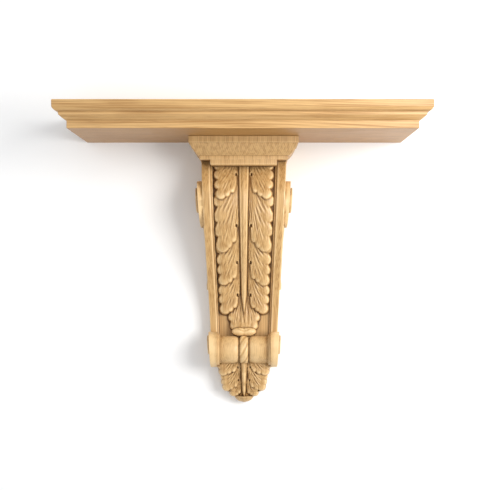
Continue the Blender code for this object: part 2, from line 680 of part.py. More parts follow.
def main():
    for old in list(bpy.data.objects):
        bpy.data.objects.remove(old, do_unlink=True)
    parts = collection("carved_wall_shelf")
    guides = collection("joined_masses")
    build_board(parts)
    build_corbel(parts, guides)


main()
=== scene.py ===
# %% [markdown]
# # A carved oak wall shelf
#
# The real shelf has two pieces of oak: a wide board with a moulding on its front and both ends, and
# one carved corbel that carries it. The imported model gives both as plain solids. This lesson makes
# their fine forms over those solids, and then the oak itself, the wall, the light and the camera.

import math

import bmesh
import bpy
import numpy as np
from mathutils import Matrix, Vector


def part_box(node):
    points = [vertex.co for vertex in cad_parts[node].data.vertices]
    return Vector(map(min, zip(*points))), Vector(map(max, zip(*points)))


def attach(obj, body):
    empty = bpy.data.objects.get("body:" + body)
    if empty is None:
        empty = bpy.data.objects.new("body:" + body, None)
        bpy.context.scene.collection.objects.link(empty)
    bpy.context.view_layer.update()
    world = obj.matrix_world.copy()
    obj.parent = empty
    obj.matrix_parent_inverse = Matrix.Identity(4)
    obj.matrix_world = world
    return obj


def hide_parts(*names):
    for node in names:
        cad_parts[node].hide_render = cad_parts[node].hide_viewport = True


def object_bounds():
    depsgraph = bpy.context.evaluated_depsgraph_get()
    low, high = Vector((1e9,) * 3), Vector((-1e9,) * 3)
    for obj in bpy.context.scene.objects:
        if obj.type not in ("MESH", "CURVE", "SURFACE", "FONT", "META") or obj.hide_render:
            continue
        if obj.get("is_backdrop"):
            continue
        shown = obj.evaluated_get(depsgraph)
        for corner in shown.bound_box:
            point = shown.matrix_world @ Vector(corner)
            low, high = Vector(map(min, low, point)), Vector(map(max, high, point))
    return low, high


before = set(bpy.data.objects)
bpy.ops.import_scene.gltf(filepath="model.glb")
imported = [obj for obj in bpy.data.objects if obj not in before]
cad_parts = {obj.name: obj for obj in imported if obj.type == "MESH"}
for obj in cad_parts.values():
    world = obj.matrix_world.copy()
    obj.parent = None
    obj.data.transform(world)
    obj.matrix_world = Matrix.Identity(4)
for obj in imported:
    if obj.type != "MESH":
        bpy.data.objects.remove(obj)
cad_box = [list(corner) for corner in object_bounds()]
print("CAD box in mm:", [[round(1000 * value, 1) for value in corner] for corner in cad_box])

# %% [markdown]
# ## One way to say where a point is
#
# A carver measures a corbel from two faces: the wall and the board's underside. So every shape here
# is worked out in `x` (sideways), `depth` (out from the wall) and `drop` (down from the underside).
# The origin is the hanging point on the corbel's back, which gives one line to turn a drop into
# Blender's Z.

# %% Depths and drops
MM = 0.001
WELD = 0.001 * MM
board_low, board_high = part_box("shelf_board")
corbel_low, corbel_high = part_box("corbel")
HANGING_DROP = board_low[2]


def height_of(drop):
    """Blender's Z of a drop: the hanging drop minus the drop."""
    return HANGING_DROP - drop


def ease(t):
    """Goes from 0 to 1 with level ends: 3 t squared minus 2 t cubed."""
    t = np.clip(t, 0.0, 1.0)
    return t * t * (3 - 2 * t)


print("the underside is", round(1000 * HANGING_DROP, 1), "mm above the hanging point")

# %% [markdown]
# ## From arrays to meshes
#
# Every piece of this shelf is a loft: a row of closed outlines with the same number of points. The
# helper takes the three coordinates as arrays with one row for each outline. It joins neighbours
# with quads, closes both ends, and hands the whole arrays to the mesh at once.

# %% Loft helper
def read(items, name, size, kind=float):
    """The named value of all items as one array, with size numbers in a row."""
    values = np.empty(size * len(items), dtype=kind)
    items.foreach_get(name, values)
    return values.reshape(-1, size)


def volume_of(mesh):
    """In cm3: six times a closed mesh's volume is the sum of its triangles' corner determinants."""
    mesh.calc_loop_triangles()
    corners = read(mesh.loop_triangles, "vertices", 3, np.int32)
    a, b, c = read(mesh.vertices, "co", 3)[corners].transpose(1, 0, 2)
    return float(np.einsum("ij,ij->i", a, np.cross(b, c)).sum() / 6e-6)


def lofted(name, x, depth, drop, flat_back=False):
    """A closed mesh through rows of points: quads from row to row and one flat face at each end. With
    flat_back one face also takes the place of each row's last quad, which has no area where two rows
    are level. Points that coincide are welded, and a skin that is inside out is turned."""
    rows, columns = x.shape
    points = np.stack([x, -depth, height_of(drop)], axis=-1).reshape(-1, 3)
    index = np.arange(rows * columns).reshape(rows, columns)
    after = np.roll(index, -1, axis=1)
    quads = np.stack([index[:-1], index[1:], after[1:], after[:-1]], axis=-1)
    flats = [index[0].tolist(), index[-1, ::-1].tolist()]
    if flat_back:
        quads = quads[:, :-1]
        flats.append(np.concatenate([index[:, -1], index[::-1, 0]]).tolist())
    mesh = bpy.data.meshes.new(name)
    mesh.from_pydata(points, [], quads.reshape(-1, 4).tolist() + flats)
    skin = bmesh.new()
    skin.from_mesh(mesh)
    bmesh.ops.remove_doubles(skin, verts=skin.verts, dist=WELD)
    skin.to_mesh(mesh)
    skin.free()
    if volume_of(mesh) < 0:
        mesh.flip_normals()
    return bpy.data.objects.new(name, mesh)


def sheet_to_wall(name, x, depth, drop):
    """A loft of a sheet of depths, whose two edges turn straight back to the wall."""
    x = np.concatenate([x[:, :1], x, x[:, -1:]], axis=1)
    return lofted(name, x, np.pad(depth, ((0, 0), (1, 1))), drop + 0 * x)


# %% [markdown]
# ## Mouldings with softened arrises
#
# A moulding is one profile run along three sides and mitred at the front corners. Planed oak never
# keeps a razor edge: sanding rounds each arris by about half a millimetre, and that thin round is
# what catches the light. The profile is a list of points; it is resampled at even steps and then
# averaged with its neighbours, which rounds every corner by the same small amount.

# %% Profile helpers
PROFILE_STEP = 0.45 * MM
TOP_ARRIS, CORNER_ARRIS = 0.7 * MM, 0.9 * MM
FLATNESS = {"ovolo": 0.3, "slack ovolo": 0.72}


def even_points(points, step):
    """Walks along a polyline and puts a point at each even step of its length."""
    points = np.asarray(points, dtype=float)
    length = np.concatenate([[0.0], np.cumsum(np.hypot(*np.diff(points, axis=0).T))])
    count = max(2, int(round(length[-1] / step)) + 1)
    at = np.linspace(0.0, length[-1], count)
    return np.stack([np.interp(at, length, points[:, k]) for k in (0, 1)], axis=1)


def softened(points):
    """Averages each inner point with its two neighbours: half itself and a quarter of each."""
    points = points.copy()
    points[1:-1] = 0.5 * points[1:-1] + 0.25 * (points[:-2] + points[2:])
    return points


def moulding_profile(members):
    """Adds up members of (kind, run, drop) in millimetres. An ovolo follows a quarter ellipse,
    flattened towards its chord; a thumb follows a power curve, and the rest are straight."""
    points = [(TOP_ARRIS, 0.0), (0.0, TOP_ARRIS)]
    inset, low = 0.0, 0.0
    share = np.linspace(0.0, 1.0, 13)[1:]
    for kind, run, drop in members:
        run, drop = run * MM, drop * MM
        if kind in FLATNESS:
            flat = FLATNESS[kind]
            along = flat * share + (1 - flat) * (1 - np.cos(share * math.pi / 2))
            down = flat * share + (1 - flat) * np.sin(share * math.pi / 2)
        elif kind == "thumb":
            along, down = share ** 1.35, share
        else:
            along, down = np.ones(1), np.ones(1)
        points += [(inset + run * a, low + drop * d) for a, d in zip(along, down)]
        inset, low = inset + run, low + drop
    return softened(even_points(points, PROFILE_STEP))


def moulded(name, half, depth, profile, top_drop, back=0.0):
    """Each profile point gives one outline: back corner, a small quarter circle round each front
    corner and the other back corner, all set in by the profile's inset."""
    turn = np.linspace(0.0, math.pi / 2, 5)
    inset, fall = profile[:, :1], profile[:, 1:]
    left = np.concatenate([[0.0], CORNER_ARRIS * (1 - np.cos(turn))])[None, :]
    front = np.concatenate([[0.0], CORNER_ARRIS * (1 - np.sin(turn))])[None, :]
    x_left = -(half - inset) + left
    out = depth - inset - front
    out[:, 0] = back
    x = np.concatenate([x_left, -x_left[:, ::-1]], axis=1)
    out = np.concatenate([out, out[:, ::-1]], axis=1)
    return lofted(name, x, out, top_drop + fall + 0 * x, flat_back=True)


# %% [markdown]
# ## The board
#
# From the top down its edge has a flat fascia, an ovolo, a fillet, a quirk and a thumb, and a lower
# fascia that stands back. The fine board replaces the CAD node because its arrises are rounded.

# %% Make the board
BOARD_MOULDING = (
    ("flat", 0.0, 10.5), ("ovolo", 7.3, 7.4), ("step", 1.8, 0.0),
    ("flat", 0.0, 5.2), ("step", 1.4, 0.0), ("thumb", 8.0, 7.2), ("step", 1.8, 0.0),
    ("flat", 0.0, 12.7), ("step", 0.6, 0.0),
)
board_profile = moulding_profile(BOARD_MOULDING)
board = moulded("moulded_board", board_high[0], -board_low[1], board_profile,
                board_low[2] - board_high[2])
print("board:", len(board.data.vertices), "points, volume", round(volume_of(board.data)), "cm3")

# %% [markdown]
# ## The shaft's two lines
#
# Two plain functions carry the whole corbel: how wide the shaft is at a drop, and how far its rails
# stand out. Seen from the side the rails swell forward under the cap and fall back to a thin waist
# above the roll. A quarter of a cosine makes the upper part, and an eased step the lower part.

# %% The shaft as functions of the drop
CAP_DROP = 38.1 * MM
CAP_DEPTH = 103.5 * MM
ROLL_DROP = 366 * MM
ROLL_DEPTH = 36.5 * MM
BARREL_RADIUS = 23.7 * MM
SHAFT_FOOT_DROP = ROLL_DROP + BARREL_RADIUS
SHAFT_TOP_WIDTH = 147 * MM
SHAFT_FOOT_WIDTH = 112.2 * MM
NECK_DEPTH, BULGE_DEPTH, WAIST_DEPTH = 52 * MM, 84 * MM, 28 * MM
BULGE_DROP, WAIST_DROP = 105 * MM, 316 * MM
RAIL_PROUD, BEAD_PROUD = 8 * MM, 4 * MM
RAIL_SHARE, BEAD_SHARE = 0.20, 0.05
FIELD = 1 - RAIL_SHARE - BEAD_SHARE


def half_width_at(drop):
    """Half the width falls evenly from the cap to the foot."""
    share = (drop - CAP_DROP) / (SHAFT_FOOT_DROP - CAP_DROP)
    return (SHAFT_TOP_WIDTH + (SHAFT_FOOT_WIDTH - SHAFT_TOP_WIDTH) * share) / 2


def rail_depth_at(drop):
    """Above the bulge: neck plus the difference times a quarter cosine. Below it: bulge plus the
    difference times an eased step down to the waist."""
    above = np.clip((BULGE_DROP - drop) / (BULGE_DROP - CAP_DROP), 0.0, 1.0)
    below = ease((drop - BULGE_DROP) / (WAIST_DROP - BULGE_DROP))
    upper = NECK_DEPTH + (BULGE_DEPTH - NECK_DEPTH) * np.cos(math.pi / 2 * above)
    lower = BULGE_DEPTH + (WAIST_DEPTH - BULGE_DEPTH) * below
    return np.where(drop < BULGE_DROP, upper, lower)


for drop in (60, 105, 200, 316):
    print("drop", drop, "mm: width", round(2000 * float(half_width_at(drop * MM)), 1),
          "mm, rails", round(1000 * float(rail_depth_at(drop * MM)), 1), "mm out")

# %% [markdown]
# ## Acanthus from fingers
#
# An acanthus leaf is a shingle of leaflets, and each leaflet is a hand of round-tipped fingers that
# part from the midrib and bend down and outward. One finger is a height worked out from two numbers:
# how far along its curved spine a point lies, and how far across. The finger swells towards its tip,
# rises along the spine, is crowned across and carries fine flutes. The leaf is the highest finger at
# each point, so upper leaflets lap over lower ones and sharp valleys form where fingers meet, just as
# a gouge leaves them.

# %% One finger
FINGER_STEPS = 18
FINGER_CROWN = 2.6 * MM
FLUTE_DEPTH = 0.9 * MM
EDGE_SLOPE = 3.5
SWELL = ((0.0, 0.30, 0.65, 0.85, 1.0), (0.40, 0.85, 1.06, 1.04, 0.96))


def finger_height(x, drop, spine, half_width, base):
    """The spine is a quadratic curve from root over bend to tip. Inside the finger the height is the
    blade's own height, plus a crown of half an ellipse that grows with the square of the place along
    the spine, plus a cosine across for the flutes, which fade at both ends. Outside it falls by the
    edge slope times the distance."""
    t = np.linspace(0.0, 1.0, FINGER_STEPS + 1)
    line = [(1 - t) ** 2 * spine[0][k] + 2 * t * (1 - t) * spine[1][k] + t ** 2 * spine[2][k]
            for k in (0, 1)]
    swell = half_width * np.interp(t, *SWELL)
    nearest = np.full(x.shape, np.inf)
    along, side, reach = np.zeros(x.shape), np.zeros(x.shape), np.full(x.shape, half_width)
    for k in range(FINGER_STEPS):
        dx, ds = line[0][k + 1] - line[0][k], line[1][k + 1] - line[1][k]
        px, ps = x - line[0][k], drop - line[1][k]
        share = np.clip((px * dx + ps * ds) / (dx * dx + ds * ds), 0.0, 1.0)
        width = swell[k] + (swell[k + 1] - swell[k]) * share
        away = np.hypot(px - share * dx, ps - share * ds) / width
        closer = away < nearest
        nearest = np.where(closer, away, nearest)
        along = np.where(closer, t[k] + share / FINGER_STEPS, along)
        side = np.where(closer, np.sign(px * ds - ps * dx) * away, side)
        reach = np.where(closer, width, reach)
    bulge = FINGER_CROWN * (0.2 + 0.8 * along ** 2) * np.sqrt(np.clip(1 - nearest ** 2, 0, 1))
    flutes = FLUTE_DEPTH * np.cos(4 * math.pi * side) * ease(4 * along) * ease(4 * (1 - along))
    outside = base - EDGE_SLOPE * (nearest - 1) * reach
    return np.where(nearest < 1, base + bulge + flutes, outside)


# %% [markdown]
# ## Tiers of leaflets
#
# The front leaf has four large leaflets on each side. A finger is how far its tip reaches, as a
# share of the width and of the tier's length, and half its width. A tier is its start, end, eye,
# reach, swell and fingers. Below its eye a leaflet's inner edge draws back from the rib, and the next
# leaflet shows there. The carver's hand isn't a machine: a seeded random generator moves each tip by
# a fraction of a millimetre, differently on the left and right.

# %% The fingers and the tiers
FINGERS = {
    "shoulder": (0.60, 0.46, 11.0 * MM),
    "upper": (0.575, 0.655, 12.5 * MM),
    "outer": (0.585, 0.82, 11.0 * MM),
    "corner": (0.56, 1.00, 11.5 * MM),
    "middle": (0.415, 0.955, 6.5 * MM),
    "inner": (0.285, 0.885, 6.0 * MM),
}
ALL_FINGERS = tuple(FINGERS)
TIERS = (
    (-0.13, 0.197, 0.51, 0.98, 0.80, ALL_FINGERS),
    (0.02, 0.503, 0.645, 0.97, 1.00, ALL_FINGERS),
    (0.353, 0.700, 0.57, 0.97, 0.83, ALL_FINGERS),
    (0.565, 0.869, 0.60, 0.97, 0.78, ALL_FINGERS[1:]),
)
EYE_SHARE, EYE_LENGTH = 0.20, 0.06
EYE_RADIUS, EYE_SINK = 1.6 * MM, 5.5 * MM
hand = np.random.default_rng(7)


def tiers_height(x, drop, tiers, top, length, half_width, blade_range, eye_size=1.0):
    """The largest of all finger heights, for the left side and the right side in turn. A tier's blade
    rises from low to high, outward and down, to the power 1.5. A drilled eye is a steep-sided oval
    pit where the inner edge leaves the rib."""
    low, high = blade_range
    height = np.full(x.shape, -5.0 * MM)
    pits = np.zeros(x.shape)
    for side in (-1.0, 1.0):
        out = side * x
        for start, end, eye, reach, swell, names in tiers:
            first, span = top + start * length, (end - start) * length
            down = np.clip((drop - first) / span, 0, 1)
            outward = np.clip(out / (0.6 * half_width(drop)), 0, 1)
            blade = low + (high - low) * (0.35 * outward + 0.65 * down) ** 1.5
            tier = np.full(x.shape, -5.0 * MM)
            root = (0.13 * half_width(first), first)
            for name in names:
                share, tip_down, width = FINGERS[name]
                width = width * swell * hand.uniform(0.97, 1.02)
                tip_drop = first + tip_down * span - width + hand.uniform(-0.6, 0.6) * MM
                tip = (share * reach * half_width(tip_drop), tip_drop)
                bend = (root[0] + 0.33 * (tip[0] - root[0]), root[1] + 0.62 * (tip[1] - root[1]))
                made = finger_height(out, drop, (root, bend, tip), width, blade)
                tier = np.maximum(tier, made)
            inner_edge = EYE_SHARE * half_width(drop) * ease((down - eye) / EYE_LENGTH)
            tier = np.minimum(tier, high + EDGE_SLOPE * (out - inner_edge))
            height = np.maximum(height, tier)
            eye_drop = first + (eye + 0.6 * EYE_LENGTH) * span
            away = np.hypot((out - 0.92 * EYE_SHARE * half_width(eye_drop)) / (EYE_RADIUS * eye_size),
                            (drop - eye_drop) / (1.8 * EYE_RADIUS * eye_size))
            pits = np.maximum(pits, EYE_SINK * eye_size * ease((1.25 - away) / 0.5))
    return height, pits


# %% [markdown]
# ## The midrib, the tongue and the curl
#
# Down the middle runs a reeded rib that tapers to a point. Below the last leaflets the leaf narrows
# to a tongue, whose end turns over into a short curl like a lip.

# %% The front's relief
LEAF_TOP_DROP = CAP_DROP + 10 * MM
LEAF_END_DROP = 342 * MM
LEAF_LENGTH = LEAF_END_DROP - LEAF_TOP_DROP
LEAF_DOME = 3.5 * MM
LEAF_BLADE = (1.0 * MM, 9.0 * MM)
RIB_HALF_WIDTH, RIB_RISE = 8.4 * MM, 11 * MM
LIFT_DROP, LIFT_HALF_WIDTH, LIFT = 292 * MM, 30 * MM, 9 * MM
SEAT_LENGTH, SEAT_HALF_WIDTH, SEAT_RISE = 22 * MM, 16 * MM, 11.5 * MM
TONGUE_ROOT = (4 * MM, 255 * MM)
TONGUE_FINGERS = (
    ((20.0 * MM, 310.0 * MM), 7.5 * MM),
    ((17.0 * MM, 324.5 * MM), 6.5 * MM),
    ((3.0 * MM, 326.0 * MM), 14.0 * MM),
)


def rib_height(x, drop, top, end, half_width, rise):
    """A round ridge: 0.7 of the rise plus 0.3 times half a circle across, whose width shrinks to
    nothing at the end. Two thin grooves run beside its crest."""
    left = np.clip((end - drop) / (end - top), 0.0, 1.0)
    width = half_width * (0.35 + 0.65 * left) * np.clip(left * 8, 0, 1) + 1e-6
    across = np.abs(x) / width
    groove = 0.9 * MM * np.exp(-((across - 0.5) / 0.14) ** 2)
    inside = rise * (0.7 + 0.3 * np.sqrt(np.clip(1 - across ** 2, 0, 1))) - groove
    return np.where(across < 1, inside, 0.7 * rise - EDGE_SLOPE * (np.abs(x) - width))


def curl_height(x, drop):
    """The rolled end: two overlapping ovals with round tops. A thin fold line arches over it."""
    up = (drop - LEAF_END_DROP + 7.3 * MM) / (7.3 * MM)
    away = np.hypot((np.abs(x) - 7.5 * MM) / (14 * MM), up)
    fold = np.abs(drop - 331.0 * MM - 2.2 * MM * np.cos(np.abs(x) / (4.6 * MM)))
    crease = 1.6 * MM * ease(1 - fold / (0.9 * MM)) * ease((16 * MM - np.abs(x)) / (3 * MM))
    inside = 24 * MM * (0.72 + 0.28 * np.sqrt(np.clip(1 - away ** 2, 0, 1))) - crease
    return np.where(away < 1, inside, -1.0)


def tongue_height(x, drop):
    """Three fingers on each side from one root; the middle ones merge into a smooth body."""
    root_x, root_drop = TONGUE_ROOT
    down = np.clip((drop - root_drop) / (LEAF_END_DROP - root_drop), 0, 1)
    blade = 1.0 * MM + 8.0 * MM * down ** 1.5
    height = np.full(x.shape, -1.0)
    for (tip_x, tip_drop), half_width in TONGUE_FINGERS:
        bend = (root_x + 0.6 * (tip_x - root_x), root_drop + 0.62 * (tip_drop - root_drop))
        spine = (TONGUE_ROOT, bend, (tip_x, tip_drop))
        height = np.maximum(height, finger_height(np.abs(x), drop, spine, half_width, blade))
    return height


def front_relief(x, drop):
    """The height over the sunk ground: the highest of leaflets, tongue, rib and curl, less the eyes.
    The leaf domes across and lifts towards the curl. Below the curl a low seat fills the space
    behind the roll."""
    share = np.abs(x) / half_width_at(drop)
    dome = LEAF_DOME * np.sin(math.pi * np.clip(share / FIELD, 0, 1))
    leaf, pits = tiers_height(x, drop, TIERS, LEAF_TOP_DROP, LEAF_LENGTH, half_width_at,
                              LEAF_BLADE)
    leaf = np.maximum(leaf + dome, tongue_height(x, drop))
    edge = FIELD * half_width_at(drop) - 1.2 * MM
    leaf = np.minimum(leaf, 6.0 * (edge - np.abs(x)))
    reach = np.clip(1 - (np.abs(x) / LIFT_HALF_WIDTH) ** 2, 0, 1)
    lift = LIFT * ease((drop - LIFT_DROP) / (LEAF_END_DROP - LIFT_DROP)) * reach
    leaf = np.where(leaf > 0, leaf + lift, leaf) - pits
    rib = rib_height(x, drop, LEAF_TOP_DROP, LEAF_TOP_DROP + 0.88 * LEAF_LENGTH, RIB_HALF_WIDTH,
                     RIB_RISE)
    carved = np.maximum(np.maximum(leaf, rib), curl_height(x, drop))
    seat = (drop < LEAF_END_DROP + SEAT_LENGTH) & (np.abs(x) < SEAT_HALF_WIDTH)
    return np.where(drop > LEAF_END_DROP, np.where(seat, SEAT_RISE, 0.0), np.maximum(carved, 0.0))


# %% [markdown]
# ## The shaft as one sheet
#
# The rails, the bead inside each rail, the ground and the leaf are one sheet of depths over `x` and
# `drop`. The rails' cross profile is softened like a moulding. The sheet's two edges then turn back
# to the wall, which makes each row a closed outline for the loft.

# %% Make the shaft
SHAFT_ROWS, FIELD_COLUMNS = 340, 153
edge_lines = [(1.0, 0.0), (1 - RAIL_SHARE, 0.0), (1 - RAIL_SHARE - 0.008, RAIL_PROUD - BEAD_PROUD),
              (FIELD, RAIL_PROUD - BEAD_PROUD), (FIELD - 0.008, RAIL_PROUD)]
edge_mm = [(share * SHAFT_TOP_WIDTH / 2, sunk) for share, sunk in edge_lines]
edge = softened(even_points([(edge_mm[0][0], 0.8 * MM), (edge_mm[0][0] - 0.8 * MM, 0.0)]
                            + edge_mm[1:], 1.1 * MM))
edge_share = edge[:, 0] / (SHAFT_TOP_WIDTH / 2)
inner = np.linspace(edge_share[-1], -edge_share[-1], FIELD_COLUMNS)[1:-1]
share = np.concatenate([edge_share, inner, -edge_share[::-1]])[::-1][None, :]
sunk = np.concatenate([edge[:, 1], np.full(len(inner), RAIL_PROUD), edge[::-1, 1]])[None, :]
drops = np.linspace(CAP_DROP - 12 * MM, SHAFT_FOOT_DROP, SHAFT_ROWS)[:, None]
front_x = half_width_at(drops) * share
relief = front_relief(front_x, drops + 0 * front_x)
relief[1:-1, 1:-1] = (4 * relief[1:-1, 1:-1] + relief[:-2, 1:-1] + relief[2:, 1:-1]
                      + relief[1:-1, :-2] + relief[1:-1, 2:]) / 8
inside_field = (np.abs(share) < FIELD - 0.004) * 1.0
front_depth = rail_depth_at(drops) - sunk + relief * inside_field
shaft = sheet_to_wall("shaft", front_x, front_depth, drops)
print("shaft:", len(shaft.data.polygons), "faces, leaf up to",
      round(1000 * float(relief.max()), 1), "mm over the ground")

# %% [markdown]
# ## The cap and the neck block
#
# The cap is a short moulding of its own: a fascia, a slack ovolo and a fillet. Under it a plain block
# fills the space between the rails, and the leaf springs from below it.

# %% Make the cap and the neck
CAP_MOULDING = (
    ("flat", 0.0, 11.0), ("step", 1.6, 0.0), ("slack ovolo", 13.9, 20.4), ("step", 2.3, 0.0),
    ("flat", 0.0, 6.7), ("step", 0.6, 0.0),
)
cap = moulded("cap", corbel_high[0], CAP_DEPTH, moulding_profile(CAP_MOULDING), 0.3 * MM)
neck_profile = moulding_profile((("flat", 0.0, 13.5), ("ovolo", 2.5, 2.5)))
neck = moulded("neck", 57 * MM, CAP_DEPTH - 19.0 * MM, neck_profile, CAP_DROP - 6 * MM, 8 * MM)
print("cap and neck:", len(cap.data.polygons) + len(neck.data.polygons), "faces")

# %% [markdown]
# ## The roll
#
# The shaft ends in a roll that lies across it. A turner would make it on a lathe, so it is a profile
# of radii carried round a level axis: a bead in the middle, a deep groove on each side of it, a round
# shoulder, the barrel, and a collar with two fine lines next to each scroll. The bead is then carved
# as a twisted strand.

# %% Make the roll
GROOVE_RADIUS = ROLL_DEPTH - WAIST_DEPTH + RAIL_PROUD + 2.2 * MM
KNOT_RADIUS, COLLAR_RADIUS = 24.8 * MM, 27.0 * MM
SPOKES, STRANDS = 96, 6
roll_end = (1 - RAIL_SHARE) * half_width_at(ROLL_DROP)
u = np.linspace(0.0, 1.0, 15)
knot_x = 7.8 * MM * u
knot_r = GROOVE_RADIUS + (KNOT_RADIUS - GROOVE_RADIUS) * np.sqrt(np.clip(1 - u ** 3, 0, 1))
shoulder_x = 9.4 * MM + 11 * MM * (1 - np.cos(math.pi / 2 * u))
shoulder_r = GROOVE_RADIUS + (BARREL_RADIUS - GROOVE_RADIUS) * np.sin(math.pi / 2 * u)
collar = roll_end - 3.4 * MM
line_x = collar + np.array([-3.2, -2.7, -2.2, -0.5, 0.0, 0.6]) * MM
line_r = np.array([23.7, 22.7, 23.7, 23.7, 26.4, 27.0]) * MM
half_x = np.concatenate([knot_x, shoulder_x, line_x, [roll_end, roll_end + 6 * MM]])
half_r = np.concatenate([knot_r, shoulder_r, line_r, [COLLAR_RADIUS, COLLAR_RADIUS]])
roll_x = np.concatenate([-half_x[::-1], half_x[1:]])[:, None]
roll_r = np.concatenate([half_r[::-1], half_r[1:]])[:, None]
turn = np.linspace(0.0, 2 * math.pi, SPOKES, endpoint=False)[None, :]
strands = 0.5 + 0.5 * np.cos(STRANDS * turn + roll_x * 2 * math.pi / (13 * MM))
twist = 1.1 * MM * strands ** 3 * ease((8.2 * MM - np.abs(roll_x)) / (2 * MM))
twisted_r = roll_r - twist
roll = lofted("roll", roll_x + 0 * turn, ROLL_DEPTH + twisted_r * np.cos(turn),
              ROLL_DROP + twisted_r * np.sin(turn))
print("roll:", len(roll.data.polygons), "faces, volume", round(volume_of(roll.data)), "cm3")

# %% [markdown]
# ## The volutes
#
# Each side carries a large volute under the cap and a smaller scroll round the roll's end. Both are
# the same rising snail: the edge's distance from the eye shrinks evenly through one turn, and the
# face climbs as it winds in. The surface is a grid of spokes and stations, with a dished channel in
# the turn and a button in the eye.

# %% One volute
VOLUTE_SPOKES = 145
EYE_STATIONS = (0.0, 0.15, 0.28, 0.36, 0.42, 0.46, 0.52, 0.6, 0.7, 0.78, 0.84, 0.88, 0.95, 0.985, 1.0)
TURN_STATIONS = (0.02, 0.06, 0.12, 0.2, 0.35, 0.5, 0.65, 0.78, 0.86, 0.92, 0.97, 1.0)


def volute(name, side, centre, eye, turn_width, start, rises, root):
    """On the spoke at a share of the turn, the edge lies at eye plus turn width times one minus the
    share, and the face stands out by the first rise plus the share of the way to the second. The
    channel is a quartic dish across the turn, and the eye has a raised button inside a ring."""
    depth, drop = centre
    proud, end_proud, eye_proud = rises
    share = np.linspace(0.0, 1.0, VOLUTE_SPOKES)
    spoke = 2 * math.pi * (share - start - 0.25)
    behind = np.minimum(np.cos(spoke), -0.1)
    to_wall = np.where(np.cos(spoke) < -0.1, (1.0 * MM - depth) / behind, 1.0)
    gap = np.minimum(turn_width * (1 - share), to_wall - eye)
    rise = proud + (end_proud - proud) * share
    dish = 2.0 * MM * np.clip(share * 12, 0, 1) * np.clip((gap - 4 * MM) / (6 * MM), 0, 1)
    level = np.ones(VOLUTE_SPOKES)
    radii, outs = [], []
    for r in EYE_STATIONS:
        button = 1.2 * MM * np.sqrt(max(0.0, 1 - (r / 0.46) ** 2)) if r < 0.46 else 0.0
        ring = 2.0 * MM * float(ease((r - 0.46) / 0.06) * ease((0.86 - r) / 0.08))
        edge_round = 0.5 * MM * max(0.0, (r - 0.95) / 0.05) ** 2
        radii.append(eye * r * level)
        outs.append((eye_proud - 1.2 * MM + button - ring - edge_round
                     + 1.2 * MM * float(ease((r - 0.8) / 0.08))) * level)
    for v in TURN_STATIONS:
        radii.append(eye + v * gap)
        across = np.clip((v - 0.04) / 0.84, 0, 1)
        edge_round = 0.6 * MM * np.clip((v - 0.92) / 0.08, 0, 1) ** 2
        outs.append(rise - dish * (1 - (2 * across - 1) ** 4) - edge_round)
    radii.append(eye + gap)
    outs.append(-root * level)
    radius, out = np.stack(radii), np.stack(outs)
    out[len(EYE_STATIONS):, -1] = -root
    s = drop - radius * np.sin(spoke)
    x = np.where(out == -root, half_width_at(drop) - root, half_width_at(s) + out)
    return lofted(name, side * x, depth + radius * np.cos(spoke), s)


# %% [markdown]
# ## Four snails
#
# The volutes sit under the cap at the shaft's widest part. The scrolls are flatter and hide the
# roll's ends. Left and right are made by the same call with the sign of `x` turned round. Each shape
# is its centre, its eye, the width of its turn, where the turn starts, its three rises and its root.

# %% Make the volutes and the scrolls
VOLUTE = ((43 * MM, 105.5 * MM), 21.8 * MM, 29.2 * MM, 0.125, (6.6 * MM, 11.8 * MM, 13 * MM), 6 * MM)
SCROLL = ((ROLL_DEPTH, 357.4 * MM), 16.3 * MM, 33 * MM, 0.31, (2.0 * MM, 3.0 * MM, 5.8 * MM),
          RAIL_SHARE * half_width_at(ROLL_DROP))
side_pieces = []
for side, word in ((-1, "left"), (1, "right")):
    side_pieces.append(volute("volute_" + word, side, *VOLUTE))
    side_pieces.append(volute("scroll_" + word, side, *SCROLL))
print("volutes:", [len(piece.data.polygons) for piece in side_pieces], "faces")

# %% [markdown]
# ## The husks on the sides
#
# Between volute and scroll each side has a low husk: a collar at its top, a long body and a turned
# tip. It is a strip whose width and height vary along it.

# %% Make the husks
HUSK_DROP, HUSK_LENGTH, HUSK_RISE, HUSK_ROOT = 150 * MM, 112 * MM, 3.0 * MM, 6 * MM


def husk(name, side):
    """Along the strip the rise is half plus half the larger of a squared cosine at the top and a
    ramp at the tip; across it follows the root of one minus 0.8 times the place squared."""
    down = np.linspace(0.0, 1.0, 70)[:, None]
    drops = HUSK_DROP + HUSK_LENGTH * down
    across = np.linspace(-1.0, 1.0, 21)[None, :]
    width = 0.24 * rail_depth_at(drops) * (1 - 0.3 * np.sin(2 * math.pi * down) ** 2)
    collar = np.cos(math.pi / 2 * np.clip(down / 0.3, 0, 1)) ** 2
    swell = 0.5 + 0.5 * np.maximum(collar, np.clip((down - 0.84) / 0.08, 0, 1))
    flutes = 1 + 0.12 * np.cos(4 * math.pi * across) * np.sin(math.pi * down)
    rise = HUSK_RISE * swell * np.sqrt(1 - 0.8 * across ** 2) * flutes
    x = half_width_at(drops) + rise
    depth = 0.5 * rail_depth_at(drops) + width * across
    root = half_width_at(drops) - HUSK_ROOT
    x = np.concatenate([root, x, root], axis=1)
    depth = np.concatenate([depth[:, :1], depth, depth[:, -1:]], axis=1)
    return lofted(name, side * x, depth, drops + 0 * x)


side_pieces += [husk("husk_left", -1), husk("husk_right", 1)]
print("husks:", len(side_pieces[-1].data.polygons), "faces each")

# %% [markdown]
# ## The small leaf's relief
#
# Below the roll hangs a small leaf that ends against the wall. It has the large leaf's fingers, only
# smaller and in three tiers, so the same functions make it.

